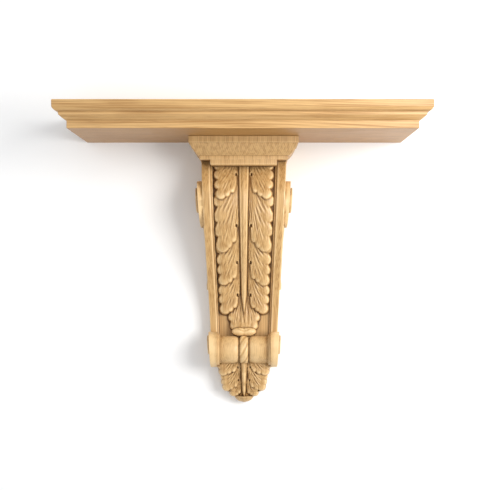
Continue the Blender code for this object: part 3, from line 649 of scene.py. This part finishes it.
# %% The small leaf's relief
PENDANT_TOP, PENDANT_LENGTH, PENDANT_HALF_WIDTH = 370 * MM, 90.6 * MM, 62 * MM
LIP_LENGTH = 11 * MM
PENDANT_TIERS = (
    (-0.14, 0.458, 0.70, 1.14, 0.66, ALL_FINGERS[1:]),
    (0.18, 0.767, 0.60, 1.04, 0.64, ALL_FINGERS),
    (0.50, 0.872, 0.90, 0.65, 0.55, ALL_FINGERS[2:]),
)


def pendant_half_width_at(drop):
    """The half width at the top, less a quarter over the length."""
    return PENDANT_HALF_WIDTH * (1 - 0.25 * np.clip((drop - PENDANT_TOP) / PENDANT_LENGTH, 0, 1))


def pendant_relief(x, drop):
    """The highest of the small leaf's fingers and its rib, and the depth of its eyes."""
    leaf, pits = tiers_height(x, drop, PENDANT_TIERS, PENDANT_TOP, PENDANT_LENGTH,
                              pendant_half_width_at, (0.0, 8.1 * MM), 0.7)
    rib = rib_height(x, drop, PENDANT_TOP, PENDANT_TOP + PENDANT_LENGTH - LIP_LENGTH, 4.8 * MM,
                     9 * MM)
    return np.maximum(leaf, rib), np.where(leaf > rib, pits, 0.0)


print("the small leaf is", round(1000 * PENDANT_LENGTH, 1), "mm long")

# %% [markdown]
# ## The pendant leaf
#
# Its outline is the outline of its fingers: each row reaches out exactly as far as the fingers' height
# stays above the core, and the grid's columns are shares of that reach. The last rows turn forward
# into a round lip. The generator starts from the same seed for the outline and for the relief, so
# both have the same fingers.

# %% Make the pendant leaf
PENDANT_SEED = 11
pendant_rows = np.linspace(PENDANT_TOP, PENDANT_TOP + PENDANT_LENGTH, 130)[:, None]
lip_share = np.clip((PENDANT_TOP + PENDANT_LENGTH - pendant_rows) / LIP_LENGTH, 0, 1)
hand = np.random.default_rng(PENDANT_SEED)
probe = np.linspace(0.0, 66 * MM, 500)[None, :] + 0 * pendant_rows
inside = pendant_relief(probe, pendant_rows + 0 * probe)[0] > 0
fingers_out = (probe * inside).max(axis=1, keepdims=True)
lip_out = 16.5 * MM * np.sqrt(np.clip(1 - (1 - lip_share) ** 2, 0.02, 1))
out = np.maximum(np.where(lip_share < 1, 0.0, fingers_out), lip_out)
share = np.linspace(-1.0, 1.0, 131)[None, :]
x = out * share
down = (pendant_rows - PENDANT_TOP) / PENDANT_LENGTH
core = 12 * MM + 26 * MM * (1 - down ** 1.5)
sag = core * 0.35 * (np.abs(x) / PENDANT_HALF_WIDTH) ** 2
hand = np.random.default_rng(PENDANT_SEED)
carved, pits = pendant_relief(x, pendant_rows + 0 * x)
carved = np.maximum(carved, 0.0) - pits
round_off = np.sqrt(np.clip(1 - share ** 2, 0, 1)) * np.sqrt(np.clip(lip_share, 0.05, 1))
depth = np.where(lip_share < 1, 12 * MM + 15 * MM * round_off, core - sag + carved)
pendant = sheet_to_wall("pendant", x, depth, pendant_rows)
print("pendant leaf:", len(pendant.data.polygons), "faces, volume",
      round(volume_of(pendant.data)), "cm3")

# %% [markdown]
# ## One piece of oak
#
# The corbel was carved from one block, so its shapes are joined into one closed skin. Every shape
# above is closed and faces outwards, which lets Blender's manifold solver join them in a moment.
# Each modifier is then applied and the join's few needle-thin leftovers are cleared away, so the
# finished piece is plain, closed mesh.

# %% Join the corbel
def cleaned(mesh):
    """Edges and faces smaller than a thousandth of a millimetre close up. Where two skins graze, the
    solver can also leave a slip with no thickness: two faces back to back on the same corners. Both
    go, and the skin stays closed, because only they share their edges."""
    skin = bmesh.new()
    skin.from_mesh(mesh)
    bmesh.ops.dissolve_degenerate(skin, dist=WELD, edges=skin.edges)
    on_corners = {}
    for face in skin.faces:
        on_corners.setdefault(frozenset(face.verts), []).append(face)
    slips = [face for faces in on_corners.values() if len(faces) > 1 for face in faces]
    bmesh.ops.delete(skin, geom=slips, context="FACES")
    open_edges = sum(len(edge.link_faces) != 2 for edge in skin.edges)
    skin.to_mesh(mesh)
    skin.free()
    print("slips dropped:", len(slips), "faces; open edges left:", open_edges)


def joined(name, shapes):
    """The union of closed shapes, as a new object with nothing left to evaluate."""
    base, others = shapes[0], shapes[1:]
    group = bpy.data.collections.new(name + "_shapes")
    bpy.context.scene.collection.children.link(group)
    for shape in shapes:
        group.objects.link(shape)
    for shape in others:
        join = base.modifiers.new(shape.name, "BOOLEAN")
        join.operation = "UNION"
        join.object = shape
        join.solver = "MANIFOLD"
    evaluated = base.evaluated_get(bpy.context.evaluated_depsgraph_get())
    mesh = bpy.data.meshes.new_from_object(evaluated)
    mesh.name = name
    cleaned(mesh)
    for shape in shapes:
        bpy.data.objects.remove(shape)
    bpy.data.collections.remove(group)
    return bpy.data.objects.new(name, mesh)


shapes = [shaft, cap, neck, roll, pendant] + side_pieces
for shape in shapes:
    print("  ", shape.name, "volume", round(volume_of(shape.data), 1), "cm3")
corbel = joined("carved_corbel", shapes)
corbel.data.calc_loop_triangles()
print("corbel:", len(corbel.data.loop_triangles), "triangles, volume",
      round(volume_of(corbel.data)), "cm3")

# %% [markdown]
# ## What the finish needs to know
#
# The finish paints shade into the hollows and a highlight onto the ridges. Both depend on one number:
# how far a point lies inside the average of its neighbours. It is worked out by averaging every point
# with its neighbours many times over, and kept on the mesh as an attribute that the material reads.

# %% Measure the hollows
def store_hollows(obj, times, reach):
    """The hollow is the average place minus the point's own, along the normal, in millimetres. The
    average comes from passing each short edge's ends to each other again and again. Edges longer
    than the reach cross plain faces and would give false hollows, so they pass nothing on."""
    mesh = obj.data
    count = len(mesh.vertices)
    own, normals = read(mesh.vertices, "co", 3), read(mesh.vertices, "normal", 3)
    a, b = read(mesh.edges, "vertices", 2, np.int32).T
    short = np.linalg.norm(own[a] - own[b], axis=1) < reach
    a, b = a[short], b[short]
    near = 1 + np.bincount(a, minlength=count) + np.bincount(b, minlength=count)
    place = own.copy()
    for _ in range(times):
        place = np.stack([place[:, k] + np.bincount(a, place[b, k], count)
                          + np.bincount(b, place[a, k], count) for k in range(3)], axis=1)
        place /= near[:, None]
    hollow = np.einsum("ij,ij->i", place - own, normals) / MM
    attribute = mesh.attributes.new("hollow", "FLOAT", "POINT")
    attribute.data.foreach_set("value", hollow.astype(np.float32))
    return hollow


SHORT = 2.5 * MM
hollow = store_hollows(corbel, 20, SHORT)
print("hollows from", np.round(np.percentile(hollow, (1, 50, 99)), 2).tolist(), "mm")
store_hollows(board, 6, SHORT)
for piece in (board, corbel):
    bpy.context.scene.collection.objects.link(piece)
    piece.data.shade_smooth()
    piece.data.set_sharp_from_angle(angle=math.radians(40))

# %% [markdown]
# ## Oak
#
# A board is cut from a trunk whose growth rings are nearly round. So the grain is worked out in
# space: each point's distance from the tree's axis gives its ring, and the axis is only tilted and
# wobbled a little, which draws the long cathedral arches on a face. Late wood is darker and early
# wood is full of open pores, seen as short dark dashes along the grain.

# %% Node helpers
def new_group(name, inputs, outputs):
    """A shader node group with float and vector sockets."""
    tree = bpy.data.node_groups.new(name, "ShaderNodeTree")
    kinds = {"value": "NodeSocketFloat", "vector": "NodeSocketVector"}
    for socket, kind, default in inputs:
        made = tree.interface.new_socket(socket, in_out="INPUT", socket_type=kinds[kind])
        if default is not None:
            made.default_value = default
    for socket, kind in outputs:
        tree.interface.new_socket(socket, in_out="OUTPUT", socket_type=kinds[kind])
    start, end = tree.nodes.new("NodeGroupInput"), tree.nodes.new("NodeGroupOutput")
    return tree, start, end


def put(tree, kind, **values):
    """A node with its settings. An input is in_ with its name or number: a plain value is set on it,
    and a socket is linked to it."""
    node = tree.nodes.new("ShaderNode" + kind)
    for key, value in values.items():
        if key.startswith("in_"):
            name = key[3:].replace("_", " ")
            socket = node.inputs[int(name)] if name.isdigit() else node.inputs[name]
            if isinstance(value, bpy.types.NodeSocket):
                tree.links.new(value, socket)
            else:
                socket.default_value = value
        else:
            setattr(node, key, value)
    return node


def maths(tree, operation, a, b=None, clamp=False):
    """One step of arithmetic on two numbers or sockets."""
    node = put(tree, "Math", operation=operation, use_clamp=clamp)
    for socket, value in zip(node.inputs, (a, b)):
        if isinstance(value, bpy.types.NodeSocket):
            tree.links.new(value, socket)
        elif value is not None:
            socket.default_value = value
    return node.outputs[0]


def band(tree, value, low, high, out_low=0.0, out_high=1.0):
    """Maps a value from one range to another, clamped."""
    return put(tree, "MapRange", in_Value=value, in_1=low, in_2=high, in_3=out_low,
               in_4=out_high).outputs[0]


def blend(tree, amount, first, second, mode="MIX"):
    """The first colour mixed with the second by the amount."""
    return put(tree, "Mix", data_type="RGBA", blend_type=mode, in_0=amount, in_6=first,
               in_7=second).outputs[2]


print("node helpers are ready")

# %% [markdown]
# ## Growth rings and pores as one shader group
#
# Both finishes use the same grain, so it is a group with its own sockets. The place comes in, and
# three numbers come out: how dark the ring is, where a pore lies open, and the long fibres.

# %% Growth rings and pores
def grain_group():
    """In: a place with the grain along its Z. Out: the ring's darkness and the pores, 0 to 1."""
    tree, start, end = new_group(
        "oak_grain",
        [("Place", "vector", None), ("Ring Width", "value", 0.0045), ("Wander", "value", 0.010)],
        [("Rings", "value"), ("Pores", "value"), ("Fibres", "value")])
    place = start.outputs["Place"]
    slow = put(tree, "Mapping", in_Vector=place, in_Scale=(7.0, 7.0, 1.6))
    drift = put(tree, "TexNoise", in_Vector=slow.outputs[0], in_Scale=1.0, in_Detail=2.0)
    off = put(tree, "VectorMath", operation="SUBTRACT", in_0=drift.outputs["Color"],
              in_1=(0.5, 0.5, 0.5))
    far = put(tree, "VectorMath", operation="SCALE", in_0=off.outputs[0],
              in_Scale=start.outputs["Wander"])
    moved = put(tree, "VectorMath", operation="ADD", in_0=place, in_1=far.outputs[0])
    parts = put(tree, "SeparateXYZ", in_0=moved.outputs[0])
    square = maths(tree, "ADD", maths(tree, "POWER", parts.outputs["X"], 2.0),
                   maths(tree, "POWER", parts.outputs["Y"], 2.0))
    rings = maths(tree, "DIVIDE", maths(tree, "SQRT", square), start.outputs["Ring Width"])
    phase = maths(tree, "FRACT", rings)
    late = band(tree, phase, 0.35, 0.95)
    early = band(tree, phase, 0.95, 1.0, 1.0, 0.0)
    dark = maths(tree, "MULTIPLY", late, early)
    fine = put(tree, "Mapping", in_Vector=place, in_Scale=(900.0, 900.0, 35.0))
    dashes = put(tree, "TexNoise", in_Vector=fine.outputs[0], in_Scale=1.0, in_Detail=2.0)
    open_early = band(tree, phase, 0.0, 0.4, 1.0, 0.25)
    pores = maths(tree, "MULTIPLY", band(tree, dashes.outputs["Fac"], 0.56, 0.70), open_early)
    long = put(tree, "Mapping", in_Vector=place, in_Scale=(260.0, 260.0, 9.0))
    fibres = put(tree, "TexNoise", in_Vector=long.outputs[0], in_Scale=1.0, in_Detail=4.0)
    tree.links.new(dark, end.inputs["Rings"])
    tree.links.new(pores, end.inputs["Pores"])
    tree.links.new(fibres.outputs["Fac"], end.inputs["Fibres"])
    return tree


oak_grain = grain_group()
print("oak grain:", len(oak_grain.nodes), "nodes")

# %% [markdown]
# ## Painted shade in the hollows, painted highlight on the ridges
#
# Both masks read the hollow that was measured above. A soft noise makes them uneven.

# %% Painted shade and highlight
def shade_and_highlight_group():
    """Out: painted shade grows with the hollow, and a painted highlight with the ridge."""
    tree, start, end = new_group("hollow_shade_and_ridge_highlight", [("Place", "vector", None)],
                                 [("Hollow Shade", "value"), ("Ridge Highlight", "value")])
    hollow = put(tree, "Attribute", attribute_name="hollow").outputs["Fac"]
    patch = put(tree, "TexNoise", in_Vector=start.outputs["Place"], in_Scale=60.0, in_Detail=3.0)
    uneven = band(tree, patch.outputs["Fac"], 0.3, 0.7, 0.75, 1.15)
    # Painted shade for the hollows, then a painted highlight for the ridges.
    hollow_shade = maths(tree, "MULTIPLY", band(tree, hollow, 0.12, 1.0), uneven, clamp=True)
    ridge_highlight = maths(tree, "MULTIPLY", band(tree, hollow, -0.10, -0.9), uneven, clamp=True)
    tree.links.new(hollow_shade, end.inputs["Hollow Shade"])
    tree.links.new(ridge_highlight, end.inputs["Ridge Highlight"])
    return tree


hollow_shade_and_ridge_highlight = shade_and_highlight_group()

# %% [markdown]
# ## The two oak finishes
# The board's grain runs along the wall and the corbel's runs upwards. Each has the tree's axis beside
# it and a little tilted. The wood is half matt. What has stood on the shelf has dulled its top, and
# the lowest half millimetre of each piece is painted darker as shade on its underside. What has stood
# on the shelf has dulled its
# top, and its underside was never finished, so the bare wood has darkened there.

# %% Make the oak
TOP = float(board_high[2])
# Besides the pores' tone: painted shade for the hollows, a painted highlight for the ridges, and a
# painted shade tint for the underside.
PORE_TONE, HOLLOW_SHADE_TONE = (0.16, 0.075, 0.025, 1), (0.10, 0.038, 0.008, 1)
RIDGE_HIGHLIGHT_TONE, UNDERSIDE_SHADE_TINT = (0.84, 0.60, 0.31, 1), (0.74, 0.62, 0.44, 1)


def oak(name, turn, axis_at, ring_width, wander, ring_depth, pale, deep, foot):
    """Grain from Object coordinates, moved and turned so that the tree's axis is Z; the ring and the
    fibre darkness mix the deep tone into the pale one, and painted shade in the hollows and a painted
    highlight on the ridges come on top. The foot is the height of the piece's underside, which is
    painted darker as shade."""
    material = bpy.data.materials.new(name)
    material.use_nodes = True
    tree = material.node_tree
    shader = tree.nodes["Principled BSDF"]
    place = put(tree, "TexCoord").outputs["Object"]
    turned = put(tree, "Mapping", vector_type="TEXTURE", in_Vector=place, in_Location=axis_at,
                 in_Rotation=turn)
    grain = put(tree, "Group", node_tree=oak_grain)
    tree.links.new(turned.outputs[0], grain.inputs["Place"])
    grain.inputs["Ring Width"].default_value = ring_width
    grain.inputs["Wander"].default_value = wander
    painted_light = put(tree, "Group", node_tree=hollow_shade_and_ridge_highlight)
    tree.links.new(place, painted_light.inputs["Place"])
    amount = maths(tree, "ADD", maths(tree, "MULTIPLY", grain.outputs["Rings"], ring_depth),
                   band(tree, grain.outputs["Fibres"], 0.42, 0.62, -0.1, 0.5))
    colour = blend(tree, amount, pale, deep)
    # The pores are grain; the next two mixes are painted shade in the hollows and a painted highlight
    # on the ridges.
    for part, most, tone in ((grain.outputs["Pores"], 0.45, PORE_TONE),
                             (painted_light.outputs["Hollow Shade"], 0.92, HOLLOW_SHADE_TONE),
                             (painted_light.outputs["Ridge Highlight"], 0.8, RIDGE_HIGHLIGHT_TONE)):
        colour = blend(tree, maths(tree, "MULTIPLY", part, most), colour, tone)
    # Painted shade: the lowest half millimetre of the piece, its underside, is tinted darker.
    height = put(tree, "SeparateXYZ", in_Vector=place).outputs["Z"]
    underside_shade = band(tree, height, foot + 0.5 * MM, foot + 0.2 * MM)
    tree.links.new(blend(tree, underside_shade, colour, UNDERSIDE_SHADE_TINT, "MULTIPLY"), shader.inputs["Base Color"])
    rough = maths(tree, "ADD", 0.42, maths(tree, "MULTIPLY", grain.outputs["Pores"], 0.25))
    rough = maths(tree, "ADD", rough, maths(tree, "MULTIPLY", painted_light.outputs["Hollow Shade"], 0.2))
    dulled = band(tree, height, TOP - 0.8 * MM, TOP - 0.3 * MM, 0.0, 0.35)
    tree.links.new(maths(tree, "ADD", rough, dulled), shader.inputs["Roughness"])
    bump = put(tree, "Bump", in_Strength=0.35, in_Distance=0.4 * MM)
    relief = maths(tree, "SUBTRACT", grain.outputs["Fibres"],
                   maths(tree, "MULTIPLY", grain.outputs["Pores"], 0.8))
    tree.links.new(relief, bump.inputs["Height"])
    tree.links.new(bump.outputs[0], shader.inputs["Normal"])
    return material


QUARTER = math.pi / 2
board_oak = oak("board_oak", (0.0, QUARTER + 0.02, 0.0), (0.1, -0.06, -0.03), 0.0024, 0.022, 0.6,
                (0.60, 0.37, 0.15, 1), (0.35, 0.175, 0.048, 1), float(board_low[2]))
corbel_oak = oak("corbel_oak", (0.02, 0.03, 0.0), (0.34, 0.12, 0.0), 0.0027, 0.006, 0.5,
                 (0.57, 0.355, 0.145, 1), (0.33, 0.165, 0.045, 1), float(corbel_low[2]))
for piece, finish, node, place in ((board, board_oak, "shelf_board", "oak_board"),
                                   (corbel, corbel_oak, "corbel", "oak_corbel")):
    piece.data.materials.clear()
    piece.data.materials.append(finish)
    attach(piece, "root")
    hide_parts(node)
print("oak on", board.name, "and", corbel.name)

# %% [markdown]
# ## The wall and the floor
#
# The shelf hangs on a white wall. The wall lets rays through from behind, so the back can be looked
# at too. The floor is well below and out of the picture. Both are plain and pale, but the floor is a
# little greyer, because the board's underside is in half shade on the real shelf.

# %% Make the wall and the floor
WALL_GAP, TOUCHING = 0.6 * MM, 2 * MM


def plane(name, middle, half, normal_up):
    """A rectangle, level or upright, that belongs to the studio."""
    (x, y, z), (a, b) = middle, half
    if normal_up:
        corners = [(x - a, y - b, z), (x + a, y - b, z), (x + a, y + b, z), (x - a, y + b, z)]
    else:
        corners = [(x - a, y, z - b), (x + a, y, z - b), (x + a, y, z + b), (x - a, y, z + b)]
    mesh = bpy.data.meshes.new(name)
    mesh.from_pydata(corners, [], [(0, 1, 2, 3)])
    made = bpy.data.objects.new(name, mesh)
    bpy.context.scene.collection.objects.link(made)
    made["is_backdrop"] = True
    return made


def one_sided_paint(name, dark, light):
    """A matt paint that varies a little from dark to light. It lets rays through from behind, and
    rays that start less than 2 mm away, so light reaches the back of what hangs on it."""
    paint = bpy.data.materials.new(name)
    paint.use_nodes = True
    tree = paint.node_tree
    shader = tree.nodes["Principled BSDF"]
    shader.inputs["Roughness"].default_value = 0.9
    mottle = put(tree, "TexNoise", in_Vector=put(tree, "TexCoord").outputs["Object"], in_Scale=3.0)
    tone = blend(tree, mottle.outputs["Fac"], (dark, dark, dark, 1), (light, light, light, 1))
    tree.links.new(tone, shader.inputs["Base Color"])
    behind = put(tree, "NewGeometry").outputs["Backfacing"]
    touching = maths(tree, "LESS_THAN", put(tree, "LightPath").outputs["Ray Length"], TOUCHING)
    choice = put(tree, "MixShader", in_0=maths(tree, "MAXIMUM", behind, touching))
    tree.links.new(shader.outputs[0], choice.inputs[1])
    tree.links.new(put(tree, "BsdfTransparent").outputs[0], choice.inputs[2])
    tree.links.new(choice.outputs[0], tree.nodes["Material Output"].inputs["Surface"])
    return paint


wall = plane("wall", (0.0, WALL_GAP, 0.4), (3.0, 1.7), False)
wall.data.materials.append(one_sided_paint("white_plaster", 0.91, 0.94))
floor = plane("floor", (0.0, -1.5, -1.3), (3.0, 1.5), True)
floor.data.materials.append(one_sided_paint("pale_floor", 0.60, 0.64))
print("studio:", wall.name, "and", floor.name)

# %% [markdown]
# ## Light
#
# A large soft lamp stands on the right and in front, level with the board, so the board's right end
# is brightest and the shadow falls to the left. A weaker and wider fill comes from the left, and the
# studio's pale air lights everything a little from all sides.

# %% Light it
def lamp(name, place, target, size, power, colour):
    """A square area light that faces its target."""
    data = bpy.data.lights.new(name, "AREA")
    data.size = size
    data.energy = power
    data.color = colour
    made = bpy.data.objects.new(name, data)
    made.location = place
    made.rotation_euler = (Vector(target) - Vector(place)).to_track_quat("-Z", "Y").to_euler()
    bpy.context.scene.collection.objects.link(made)
    return made


lamp("key", (1.02, -1.18, 0.1), (0.0, 0.0, -0.02), 0.9, 25, (1.0, 0.99, 0.97))
lamp("fill", (-1.6, -2.2, 0.2), (0.0, 0.0, -0.1), 2.0, 5, (0.97, 0.985, 1.0))
world = bpy.data.worlds.new("studio")
bpy.context.scene.world = world
world.use_nodes = True
air = world.node_tree.nodes["Background"]
air.inputs["Color"].default_value = (0.975, 0.985, 1.0, 1)
air.inputs["Strength"].default_value = 0.76
print("light: key, fill and", world.name)

# %% [markdown]
# ## Camera
#
# The camera looks straight at the wall from about 1.8 m, a little below the board. The standard view
# keeps the wood bright beside the white wall.

# %% Set up the camera
bpy.context.scene.view_settings.view_transform = "Standard"
lens = bpy.data.cameras.new("photo_camera")
lens.lens = 73.5
lens.shift_x = -0.0202
lens.shift_y = 0.0265
camera = bpy.data.objects.new("photo_camera", lens)
camera.location = (0.0191, -1.785, -0.1508)
camera.rotation_euler = (math.pi / 2, 0.0, 0.0)
bpy.context.scene.collection.objects.link(camera)
bpy.context.scene.camera = camera
print("camera:", round(-camera.location.y, 2), "m from the wall")

# %% [markdown]
# ## Sizes
#
# Both boxes are printed next to each other. The visual must stay inside the CAD's box.

# %% Finish
look_box = [list(corner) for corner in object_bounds()]
for before, after in zip(cad_box, look_box):
    print("CAD", [round(1000 * v, 2) for v in before], "look", [round(1000 * v, 2) for v in after])
